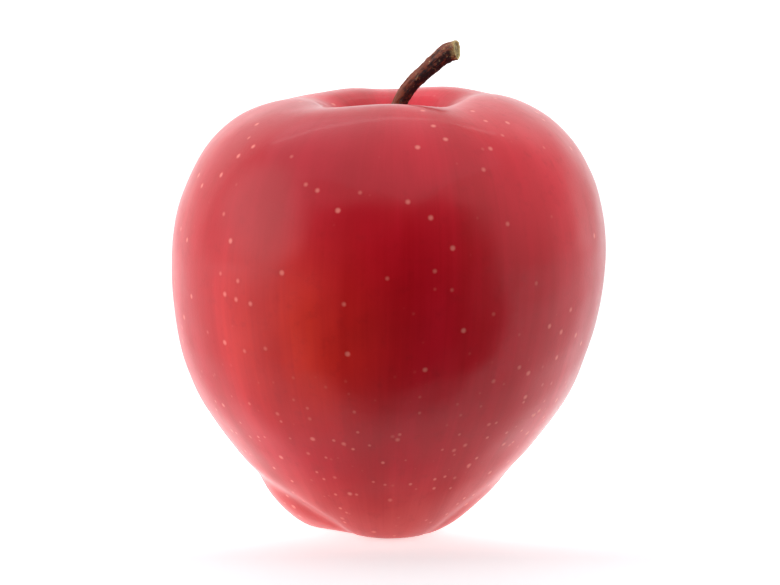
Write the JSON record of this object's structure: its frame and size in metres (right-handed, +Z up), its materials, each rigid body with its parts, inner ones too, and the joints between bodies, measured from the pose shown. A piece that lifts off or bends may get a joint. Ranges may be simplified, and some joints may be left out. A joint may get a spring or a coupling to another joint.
{
  "type": "apple",
  "caption": "Ripe red apple with a lobed, tapering body, a leaning woody stem in a deep cavity and a dried calyx; it stands on the knobs of its base.",
  "frame": {"origin": "on the ground under the middle of the object's bounding box", "axes": "+Z up along the fruit's core, the stem leans towards +X, the side shown to the viewer faces -Y"},
  "size_m": [0.0777, 0.0776, 0.0877],
  "materials": {
    "apple_skin": "waxy, glossy deep red skin with pale dots and faint streaks",
    "stem_bark": "rough dark brown bark, paler where it left the twig",
    "dried_sepal": "dry, matt, wrinkled brown leaf",
    "withered_stamen": "dry, matt, dark brown threads"
  },
  "bodies": {
    "root": {"fruit": "apple_skin", "stem": "stem_bark", "sepal_1": "dried_sepal", "sepal_2": "dried_sepal", "sepal_3": "dried_sepal", "sepal_4": "dried_sepal", "sepal_5": "dried_sepal", "stamens": "withered_stamen"}
  },
  "joints": []
}
